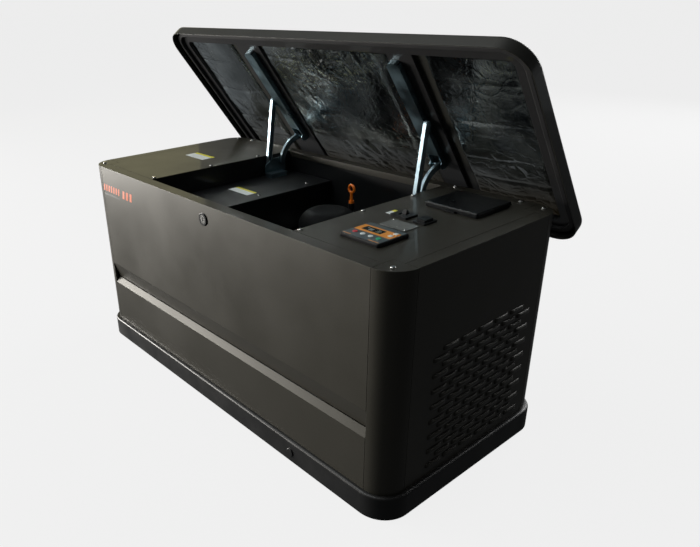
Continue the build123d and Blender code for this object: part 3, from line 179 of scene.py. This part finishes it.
def foil_material():
    """Aluminium foil: sheen, small creases and pull lines; darker and browner towards the lid's rear edge,
    a painted reflection of the dark surroundings mirrored there.
    """
    mat = new_material("foil", (0.40, 0.43, 0.45), 0.22, 1.0)
    nodes, links = mat.node_tree.nodes, mat.node_tree.links
    coords = nodes.new("ShaderNodeTexCoord")
    warp = texture(mat, "ShaderNodeTexNoise", 14, Detail=4.0)
    bent = nodes.new("ShaderNodeVectorMath")
    bent.operation = "MULTIPLY_ADD"
    bent.inputs[1].default_value = (0.06, 0.06, 0.06)
    links.new(warp.outputs["Color"], bent.inputs[0])
    links.new(coords.outputs["Object"], bent.inputs[2])
    for size, width, depth in ((24, 0.10, 0.0008), (60, 0.12, 0.0003)):
        cells = nodes.new("ShaderNodeTexVoronoi")
        cells.feature = "DISTANCE_TO_EDGE"
        cells.inputs["Scale"].default_value = size
        links.new(bent.outputs["Vector"], cells.inputs["Vector"])
        bump(mat, ramp(mat, cells.outputs["Distance"], 0.0, 1.0, 0.0, width), depth, 0.5)
    pulled = texture(mat, "ShaderNodeTexNoise", (6, 110, 110), Detail=3.0)
    bump(mat, pulled.outputs["Fac"], 0.0006, 0.35)
    vary(mat, "Roughness", noise_out(mat, 16, 5), 0.12, 0.28)
    # painted reflection: low on the lid the base colour fades to dark brown, standing in for the dark
    # surroundings the foil mirrors there
    split = nodes.new("ShaderNodeSeparateXYZ")
    height = nodes.new("ShaderNodeMapRange")
    links.new(coords.outputs["Object"], split.inputs["Vector"])
    links.new(split.outputs["Z"], height.inputs["Value"])
    height.inputs["From Min"].default_value = FOIL_PAINTED_REFLECTION_Z
    height.inputs["From Max"].default_value = FOIL_UNTINTED_Z
    foil_tone = ramp(mat, noise_out(mat, 5, 4), (0.24, 0.27, 0.28), (0.82, 0.90, 0.93), 0.40, 0.66)
    mix = nodes.new("ShaderNodeMix")
    mix.data_type = "RGBA"
    mix.inputs["A"].default_value = (0.13, 0.100, 0.060, 1.0)
    links.new(height.outputs["Result"], mix.inputs["Factor"])
    links.new(foil_tone, mix.inputs["B"])
    links.new(mix.outputs["Result"], nodes["Principled BSDF"].inputs["Base Color"])
    return mat


PAINT = paint("panel_paint", (0.043, 0.040, 0.031))
LID_PAINT = paint("lid_paint", (0.030, 0.030, 0.026), 0.42, 0.22)
BLACK_PLASTIC = moulded("base_plastic", (0.010, 0.010, 0.010), 0.42, 500)
FLAP_PLASTIC = moulded("flap_plastic", (0.004, 0.005, 0.006), 0.32, 900, 0.00005, 0.35)
COVER_PLASTIC = moulded("cover_plastic", (0.0045, 0.005, 0.0055), 0.55, 1200, gloss=0.05)
SWITCH_PLASTIC = moulded("switch_plastic", (0.009, 0.010, 0.011), 0.34, 1400, 0.00005, 0.3)
WELL_SHEET = paint("well_sheet", (0.009, 0.010, 0.011), 0.45, 0.2)
RIB_SHEET = paint("rib_sheet", (0.022, 0.022, 0.023), 0.42, 0.25)
ZINC = metal("zinc_plate", (0.24, 0.34, 0.39), 0.38, 9, 0.00001)
# painted light: a lighter copy of the hinge zinc for the links and pins, standing in for the light that
# falls on them
ZINC_PAINTED_LIGHT = metal("zinc_painted_light", (0.30, 0.39, 0.44), 0.46, 22, 0.00003)
SCREW = metal("screw_plate", (0.86, 0.86, 0.84), 0.16, 200)
LOCK_METAL = metal("lock_metal", (0.34, 0.34, 0.33), 0.26, 200)
ALLOY = cast("engine_alloy", (0.30, 0.30, 0.30))
IRON = cast("engine_iron", (0.16, 0.16, 0.16), 0.6)
ENGINE_BLACK = paint("engine_black", (0.014, 0.014, 0.015), 0.4, 0.2)
EXHAUST = metal("exhaust_steel", (0.34, 0.30, 0.26), 0.42, 20)
BRASS = metal("brass", (0.62, 0.44, 0.20), 0.3)
RUBBER = plain_rubber("rubber")
FOIL = foil_material()
ORANGE = moulded("orange_plastic", (0.95, 0.22, 0.015), 0.32, 1500, 0.00004)
BEZEL = moulded("bezel_plastic", (0.005, 0.005, 0.006), 0.34, 1500, 0.00005, 0.25)
FILM_GREY = printed("film_grey", (0.085, 0.115, 0.125), 0.4)
FILM_ORANGE = printed("film_orange", (0.95, 0.35, 0.030), 0.4)
FILM_GLASS = printed("film_glass", (0.018, 0.028, 0.032), 0.12)
FILM_SEGMENT = printed("film_segment", (0.20, 0.24, 0.23), 0.4)
KEY_RED = moulded("key_red", (0.75, 0.06, 0.07), 0.35, 2500, 0.00003)
KEY_WHITE = moulded("key_white", (0.85, 0.90, 0.90), 0.35, 2500, 0.00003)
KEY_GREEN = moulded("key_green", (0.03, 0.50, 0.27), 0.35, 2500, 0.00003)
STICKER_WHITE = printed("sticker_white", (0.88, 0.92, 0.92), 0.4)
STICKER_YELLOW = printed("sticker_yellow", (0.85, 0.80, 0.04), 0.4)
CLEAR_PLATE = printed("clear_plate", (0.19, 0.20, 0.19), 0.22)
MARK_ORANGE = printed("mark_orange", (0.70, 0.14, 0.05), 0.4)
MARK_GREY = printed("mark_grey", (0.045, 0.043, 0.040), 0.4)

CAD_LOOK = {
    PAINT: ["corner_columns", "front_upper_panel", "front_lower_panel", "left_end_panel",
            "right_end_panel", "back_panel", "deck_left", "deck_right"],
    LID_PAINT: ["lid_shell"],
    WELL_SHEET: ["well_walls", "shelf_box", "top_frame", "control_box"],
    RIB_SHEET: ["lid_ribs", "lid_flange"],
    BLACK_PLASTIC: ["base_tray", "base_plug"],
    FLAP_PLASTIC: ["hatch_cover", "hatch_hinge"],
    COVER_PLASTIC: ["air_cleaner", "intake", "blower_housing", "battery"],
    SWITCH_PLASTIC: ["circuit_breaker", "breaker_toggle", "service_outlet", "lock_body"],
    ZINC: ["hinge_brackets", "hinge_channels"],
    ZINC_PAINTED_LIGHT: ["rear_links", "front_links", "hinge_pins"],
    SCREW: ["deck_screws"],
    LOCK_METAL: ["lock_barrel", "lid_striker"],
    ALLOY: ["crankcase", "cylinders", "alternator_housing"],
    IRON: ["crankshaft", "flywheel_fan", "stator", "rotor", "bearings"],
    ENGINE_BLACK: ["rocker_covers", "skid_frame", "oil_filter", "dipstick_tube"],
    EXHAUST: ["exhaust"],
    BRASS: ["gas_train"],
    RUBBER: ["lid_seal", "vibration_mounts"],
    ORANGE: ["dipstick"],
    BEZEL: ["controller"],
    KEY_RED: ["push_key_1"],
    KEY_WHITE: ["push_key_2", "push_key_3", "arrow_key_up", "arrow_key_down"],
    KEY_GREEN: ["push_key_4"],
}
for look, names in CAD_LOOK.items():
    for node in names:
        NODES[node].data.materials.clear()
        NODES[node].data.materials.append(look)


# ---------------------------------------------------------------- mesh helpers

def add_piece(name, verts, faces, look, body, smooth=True):
    """Makes a mesh piece from points in metres, which rides on a body."""
    mesh = bpy.data.meshes.new(name)
    mesh.from_pydata([tuple(v) for v in verts], [], faces)
    mesh.validate()
    mesh.update()
    if smooth:
        for polygon in mesh.polygons:
            polygon.use_smooth = True
    mesh.materials.append(look)
    piece = bpy.data.objects.new(name, mesh)
    bpy.context.collection.objects.link(piece)
    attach(piece, body)
    return piece


ARC_STEPS = 5                 # pieces of a rounded corner
EDGE_SHARE = 0.4              # part of a thin plate's height that its rounded top edge takes
MM = 1000                     # millimetres in a metre


def rounded(x0, x1, y0, y1, radius):
    """Outline of a rounded rectangle, counterclockwise."""
    points = []
    corners = ((x1 - radius, y1 - radius, 0), (x0 + radius, y1 - radius, 90),
               (x0 + radius, y0 + radius, 180), (x1 - radius, y0 + radius, 270))
    for cx, cy, start in corners:
        for k in range(ARC_STEPS + 1):
            angle = math.radians(start + 90 * k / ARC_STEPS)
            points.append((cx + radius * math.cos(angle), cy + radius * math.sin(angle)))
    return points


def on_deck(z):
    """Turns flat coordinates in millimetres into a point on a level face at height z."""
    return lambda u, v, w: Vector((u, v, z + w)) / MM


def on_front(y):
    """The same on an upright face that looks towards the front."""
    return lambda u, v, w: Vector((u, y - w, v)) / MM


def thin_plate(name, outline, place, height, look, hole=None):
    """Thin printed or moulded plate on the cabinet, its top edge rounded off; sizes in millimetres."""
    count = len(outline)
    middle_u = sum(p[0] for p in outline) / count
    middle_v = sum(p[1] for p in outline) / count
    soft = height * EDGE_SHARE
    inner = []
    for u, v in outline:
        far = math.hypot(u - middle_u, v - middle_v)
        inner.append((u - (u - middle_u) / far * soft, v - (v - middle_v) / far * soft))
    rings = [[place(u, v, 0) for u, v in outline], [place(u, v, height - soft) for u, v in outline],
             [place(u, v, height) for u, v in inner]]
    if hole:
        rings.append([place(u, v, height) for u, v in hole])
        rings.append([place(u, v, 0) for u, v in hole])
    verts = [point for ring in rings for point in ring]
    faces = []
    for ring in range(len(rings) - 1):
        for k in range(count):
            a, b = ring * count + k, ring * count + (k + 1) % count
            faces.append((a, b, b + count, a + count))
    if hole:
        last = (len(rings) - 1) * count
        faces += [(last + k, last + (k + 1) % count, (k + 1) % count, k) for k in range(count)]
    else:
        faces.append(tuple(2 * count + k for k in range(count)))
        faces.append(tuple(reversed(range(count))))
    return add_piece(name, verts, faces, look, "cabinet", smooth=False)


# ---------------------------------------------------------------- lid coordinates, in metres

LID_ANGLE = math.radians(53.17)                # tilt of the open lid
MOUTH_BACK = Vector((0.0, 0.364, 0.4534))      # rear edge of the lid's mouth while it stands open
ALONG = Vector((0.0, -math.cos(LID_ANGLE), math.sin(LID_ANGLE)))
INWARD = Vector((0.0, math.sin(LID_ANGLE), math.cos(LID_ANGLE)))


def lid_point(x, s, off):
    """Point of the open lid: x, distance from its rear edge, and depth above the mouth plane."""
    return MOUTH_BACK + Vector((x, 0, 0)) + ALONG * s + INWARD * off


# ---------------------------------------------------------------- foil liners, in metres

BACK = 0.0318                 # the lid's inner sheet, above the mouth plane
RIB_FACE = 0.0236             # the ribs' faces, above the mouth plane
THICK = 0.0100                # the liners' greatest thickness
STEP = 0.004                  # mesh pitch
ROLL = 0.012                  # width of the edges pressed back to the sheet
CORNER = 0.02                 # radius of the outer bays' corners
CREASE = 0.0045               # half width of a pressed fold
# folds: distance from the lid's rear edge, and depth
SIDE_FOLDS = ((0.445, 0.5), (0.335, 0.8), (0.300, 0.5), (0.215, 0.9), (0.150, 1.0), (0.105, 0.6),
              (0.075, 0.7))
MIDDLE_FOLDS = ((0.480, 0.6), (0.395, 0.3), (0.210, 0.5), (0.120, 0.7))
LINER_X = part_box("lid_liners")[1].x
RIB_IN = 0.2135               # inner edge of the ribs
LAP_X = 0.2425                # the middle foil laps over the right-hand rib to here
LAP_LEAD, LAP_RUN = 0.022, 0.020             # where it starts to climb before the rib, and over what length
LAP_PRESS = 0.8               # how much flatter it lies on the rib
SKIN_MIN = 0.0004             # least distance of the foil from the sheet
BAY_X = 0.3445                # inner edge of the outer bays
S0, S1 = 0.051, 0.515         # rear and front edge of the foil, from the lid's rear edge


def stretched(x, s, seed, folds, crinkle):
    """Height of stretched foil from 0 to about 1: broad pillows, pull lines and patches of crinkle."""
    # broad pillows
    height = 0.58 + 0.48 * noise.fractal(Vector((x * 7, s * 8, seed)), 1.0, 2.0, 2)
    # pressed folds, which wander and fade along x
    wander = noise.noise(Vector((x * 7, seed, 2.0))) * 0.010
    for place, depth in folds:
        away = (s + wander - place) / CREASE
        fade = 0.55 + 0.45 * noise.noise(Vector((x * 11, place * 40, seed)))
        height -= 0.30 * depth * fade * math.exp(-away * away)
    # patches of fine crinkle
    patch = max(0.0, noise.noise(Vector((x * 8, s * 8, seed + 9))) + 0.15)
    skew = Vector(((x * 0.8 + s * 0.4) * 55, (s * 0.5 - x * 0.3) * 55, seed))
    height += crinkle * patch * noise.fractal(skew, 0.7, 2.0, 3)
    return max(0.1, min(1.0, height))


def smooth_step(value):
    """Eases from 0 to 1."""
    value = max(0.0, min(1.0, value))
    return value * value * (3 - 2 * value)


def foil_bay(name, x0, x1, seed, folds, crinkle, round_end=0, laps=False):
    """Foil skin over one insulation mat, pressed back to the sheet at its rear and its sides.

    round_end is the sign of the end whose corners are rounded. With laps it goes over a rib at its +X side.
    """
    columns = int((x1 - x0) / STEP) + 1
    rows = int((S1 - S0) / STEP) + 1
    verts, faces = [], []
    for j in range(rows + 1):
        for i in range(columns + 1):
            x = x0 + (x1 - x0) * i / columns
            s = S0 + (S1 - S0) * j / rows
            # points outside a rounded corner are pulled onto its arc
            if round_end:
                edge = x1 if round_end > 0 else x0
                for corner in (S0, S1):
                    dx, ds = CORNER - abs(x - edge), CORNER - abs(s - corner)
                    far = math.hypot(dx, ds)
                    if dx > 0 and ds > 0 and far > CORNER:
                        x = edge - round_end * (CORNER - dx * CORNER / far)
                        s = corner + (1 if corner == S0 else -1) * (CORNER - ds * CORNER / far)
            margin = min((x - x0) / ROLL, (x1 - x) / ROLL, (s - S0) / ROLL)
            rise = min(1.0, max(0.0, margin))
            rise = math.sqrt(max(0.0, 1 - (1 - rise) ** 2))
            lap = smooth_step((x - RIB_IN + LAP_LEAD) / LAP_RUN) if laps else 0.0
            height = THICK * (1 - LAP_PRESS * lap) * rise * stretched(x, s, seed, folds, crinkle)
            back = BACK + (RIB_FACE - BACK) * lap
            verts.append(lid_point(x, s, back - max(SKIN_MIN, height)))
    for j in range(rows):
        for i in range(columns):
            a = j * (columns + 1) + i
            faces.append((a, a + columns + 1, a + columns + 2, a + 1))
    return add_piece(name, verts, faces, FOIL, "lid")


middle = foil_bay("foil_middle", -RIB_IN, LAP_X, 1.3, MIDDLE_FOLDS, 0.55, laps=True)
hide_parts("lid_liners")
foil_bay("foil_right", BAY_X, LINER_X, 5.1, SIDE_FOLDS, 0.30, 1)
foil_bay("foil_left", -LINER_X, -BAY_X, 8.6, SIDE_FOLDS, 0.25, -1)


# ---------------------------------------------------------------- controller face, labels and mark, in mm

FACE_Z = 566.0                # top of the controller
DECK_Z = 558.0
SHELF_Z = 497.0
FRONT_Y = -277.0              # outer face of the front panels
COVER_THICK = 1.6
STICKER_THICK = 0.25
MARK_THICK = 0.3
MARK_LEAN = 0.22              # sideways lean of the mark's bars, as a share of their height
WINDOW = rounded(396, 448, -152, -130, 1.0)
# bars of the display: x from, x to, y from, y to
SEGMENTS = ((401, 407, -137, -134.5), (410, 420, -147, -136), (430, 441, -146.5, -144.5),
            (430, 441, -141, -139), (430, 438, -136, -134.2))


def film(name, outline, z, height, look, hole=None):
    """Printed layer on the controller or on the deck beside it."""
    thin_plate(name, outline, on_deck(z), height, look, hole)


film("controller_film", rounded(382.5, 481.5, -193.5, -109.5, 2.5), FACE_Z, 0.3, FILM_GREY, WINDOW)
film("controller_band", rounded(384, 480, -160, -125, 1.0), FACE_Z + 0.3, 0.2, FILM_ORANGE, WINDOW)
film("controller_glass", rounded(395, 449, -153, -129, 1.0), FACE_Z - 1.0, 0.9, FILM_GLASS)
for x0, x1 in ((384, 405), (452, 480)):
    film("controller_line_%d" % x0, rounded(x0, x1, -191.6, -189.9, 0.5), FACE_Z + 0.3, 0.2, FILM_ORANGE)
for k, segment in enumerate(SEGMENTS):
    film("controller_segment_%d" % k, rounded(*segment, 0.5), FACE_Z - 0.1, 0.12, FILM_SEGMENT)


def sticker(name, x0, x1, y0, y1, z, strip):
    """Blank two-colour sticker; its strip lies along the back edge."""
    for part, edges, look in (("_white", (y0, y1 - strip), STICKER_WHITE),
                              ("_yellow", (y1 - strip, y1), STICKER_YELLOW)):
        thin_plate(name + part, rounded(x0, x1, *edges, 1.5), on_deck(z), STICKER_THICK, look)


sticker("deck_label", -483, -387, -20, 26, DECK_Z, 12)
sticker("shelf_label", -246, -157, -29, 7, SHELF_Z, 10)
sticker("breaker_label", 344, 362, -20, 12, DECK_Z, 12)
film("clear_cover", rounded(388, 458, -88, -42, 3), DECK_Z, COVER_THICK, CLEAR_PLATE)
for k, (x, y) in enumerate(((392, -46), (454, -84))):
    thin_plate("cover_screw_%d" % k, rounded(x - 2.6, x + 2.6, y - 2.6, y + 2.6, 2.5),
               on_deck(DECK_Z + COVER_THICK), 1.6, SCREW)


def mark_bar(name, x, width, z0, z1, look):
    """One leaning bar of the plain mark on the front panel."""
    lean = (z1 - z0) * MARK_LEAN
    outline = [(u + (v - z0) / (z1 - z0) * lean, v) for u, v in rounded(x, x + width, z0, z1, 1.6)]
    thin_plate(name, outline, on_front(FRONT_Y), MARK_THICK, look)


for k in range(7):
    mark_bar("front_mark_%d" % k, -538 + 15 * k, 8, 487, 507, MARK_ORANGE)
for k in range(3):
    mark_bar("front_mark_wide_%d" % k, -421 + 21 * k, 12, 483, 507, MARK_ORANGE)
mark_bar("front_mark_line", -536, 96, 475, 480, MARK_GREY)


# ---------------------------------------------------------------- louvre hoods, in mm

LOUVRE_Y0, LOUVRE_Y1, LOUVRE_Z0, LOUVRE_Z1 = -157.0, 192.0, 84.0, 360.0
LOUVRE_COLUMNS, LOUVRE_ROWS = 6, 16
END_X = 600.0                 # outer face of the end panels
BRIDGE = 12.0                 # sheet left between two slots of a row
HOOD_OUT = 5.0
HOOD_LAP = 2.0                # how far a hood goes past each end of its slot
HOOD_TOP, HOOD_FOOT = 5.2, -3.6      # above and below the slot's middle
HOOD_GAP = 0.05               # keeps a hood's rim off the panel's face
HOOD_SHEET = 0.0010           # in metres
ACROSS, DOWN = 14, 6          # faces of one hood


def louvre_hoods(side):
    """Pressed hoods over one end's slots, open at their lower edge; side is the sign of x."""
    pitch_y = (LOUVRE_Y1 - LOUVRE_Y0) / LOUVRE_COLUMNS
    pitch_z = (LOUVRE_Z1 - LOUVRE_Z0) / (LOUVRE_ROWS - 1)
    half = (pitch_y - BRIDGE) / 2 + HOOD_LAP
    verts, faces = [], []
    for row in range(LOUVRE_ROWS):
        for column in range(LOUVRE_COLUMNS - row % 2):
            y = LOUVRE_Y0 + pitch_y / 2 * (1 + row % 2) + column * pitch_y
            z = LOUVRE_Z0 + row * pitch_z
            first = len(verts)
            for j in range(DOWN + 1):
                turn = math.pi / 2 * j / DOWN
                for i in range(ACROSS + 1):
                    u = -1 + 2 * i / ACROSS
                    swell = math.sqrt(max(0.0, 1 - abs(u) ** 4))
                    out = HOOD_OUT * math.sin(turn) * swell + HOOD_GAP
                    level = HOOD_FOOT + (HOOD_TOP - HOOD_FOOT) * math.cos(turn) ** 0.8
                    verts.append(Vector((side * (END_X + out), y + u * half, z + level)) / MM)
            for j in range(DOWN):
                for i in range(ACROSS):
                    a = first + j * (ACROSS + 1) + i
                    quad = (a, a + 1, a + ACROSS + 2, a + ACROSS + 1)
                    faces.append(quad if side < 0 else tuple(reversed(quad)))
    name = "louvre_hoods_right" if side > 0 else "louvre_hoods_left"
    hoods = add_piece(name, verts, faces, PAINT, "cabinet")
    shell = hoods.modifiers.new("sheet", "SOLIDIFY")
    shell.thickness = HOOD_SHEET
    shell.offset = -1.0


louvre_hoods(1)
louvre_hoods(-1)


# ---------------------------------------------------------------- camera, light and floor

FLOOR_HALF = 60.0
FLOOR_GLOW = 0.84
BACKDROP = 0.845              # brightness behind the object, as the camera sees it


def lamp(name, place, target, width, height, power, color):
    """Soft box that lights the object and isn't seen itself."""
    light = bpy.data.lights.new(name, "AREA")
    light.shape = "RECTANGLE"
    light.size = width
    light.size_y = height
    light.energy = power
    light.color = color
    holder = bpy.data.objects.new(name, light)
    holder.location = place
    holder.rotation_euler = (Vector(target) - Vector(place)).to_track_quat("-Z", "Y").to_euler()
    holder.visible_camera = False
    bpy.context.collection.objects.link(holder)


def make_stage():
    """Pale floor, world and lamps; the floor glows, and is left out of bounced light and reflections."""
    mesh = bpy.data.meshes.new("floor")
    r = FLOOR_HALF
    mesh.from_pydata([(-r, -r, 0), (r, -r, 0), (r, r, 0), (-r, r, 0)], [], [(0, 1, 2, 3)])
    floor = bpy.data.objects.new("floor", mesh)
    bpy.context.collection.objects.link(floor)
    mesh.materials.append(new_material("floor", (0.05, 0.05, 0.05), 0.9, Emission_Strength=FLOOR_GLOW,
                                       Emission_Color=(1.0, 1.0, 1.0, 1.0), Specular_IOR_Level=0.0))
    floor.visible_diffuse = False
    floor.visible_glossy = False
    world = bpy.data.worlds.new("studio")
    bpy.context.scene.world = world
    world.use_nodes = True
    nodes, links = world.node_tree.nodes, world.node_tree.links
    dim = nodes["Background"]
    dim.inputs["Color"].default_value = (0.95, 0.98, 1.0, 1.0)
    heading = nodes.new("ShaderNodeTexCoord")
    split = nodes.new("ShaderNodeSeparateXYZ")
    fade = nodes.new("ShaderNodeMapRange")
    links.new(heading.outputs["Generated"], split.inputs["Vector"])
    links.new(split.outputs["X"], fade.inputs["Value"])
    # the world lights more from -X than from +X
    for socket, value in (("From Min", -0.7), ("From Max", 0.3), ("To Min", 0.13), ("To Max", 0.042)):
        fade.inputs[socket].default_value = value
    links.new(fade.outputs["Result"], dim.inputs["Strength"])
    pale = nodes.new("ShaderNodeBackground")
    pale.inputs["Color"].default_value = (1.0, 1.0, 1.0, 1.0)
    pale.inputs["Strength"].default_value = BACKDROP
    seen = nodes.new("ShaderNodeLightPath")
    mix = nodes.new("ShaderNodeMixShader")
    links.new(seen.outputs["Is Camera Ray"], mix.inputs["Fac"])
    links.new(dim.outputs["Background"], mix.inputs[1])
    links.new(pale.outputs["Background"], mix.inputs[2])
    links.new(mix.outputs["Shader"], nodes["World Output"].inputs["Surface"])
    # name, place, what it is aimed at, width, height, watts, colour
    lamp("key", (-4.0, -2.6, 0.5), (-0.1, -0.2, 0.4), 2.2, 0.9, 350, (1.0, 0.965, 0.91))
    lamp("warm_wall", (-5.49, 1.36, 1.8), (1.26, -1.07, 1.0), 3.2, 2.4, 10, (1.0, 0.90, 0.42))
    lamp("overhead", (-1.2, -1.6, 3.6), (0.0, 0.0, 0.5), 3.2, 3.2, 74, (0.97, 1.0, 1.0))
    lamp("side", (2.6, 3.3, 0.9), (0.3, 0.2, 0.8), 1.8, 1.4, 2, (0.92, 0.97, 1.0))
    lamp("back", (0.0, 5.0, 2.6), (0.0, 0.0, 0.5), 3.0, 3.0, 170, (1.0, 1.0, 1.0))


def make_camera():
    """Camera at the front right, above the deck, turned by a matrix of its three axes."""
    data = bpy.data.cameras.new("camera")
    data.sensor_width = 36.0
    data.lens = 33.37
    data.shift_x = 0.100
    data.shift_y = 0.0225
    data.clip_end = 200.0
    camera = bpy.data.objects.new("camera", data)
    right = Vector((0.63966, 0.76823, -0.02569))
    up = Vector((-0.30143, 0.28144, 0.91101))
    back = Vector((0.70709, -0.57499, 0.41159))
    turn = Matrix((right, up, back)).transposed().to_4x4()
    camera.matrix_world = Matrix.Translation((1.2633, -1.0743, 1.0017)) @ turn
    bpy.context.collection.objects.link(camera)
    bpy.context.scene.camera = camera


make_stage()
make_camera()
bpy.context.scene.view_settings.view_transform = "Standard"
bpy.context.view_layer.update()
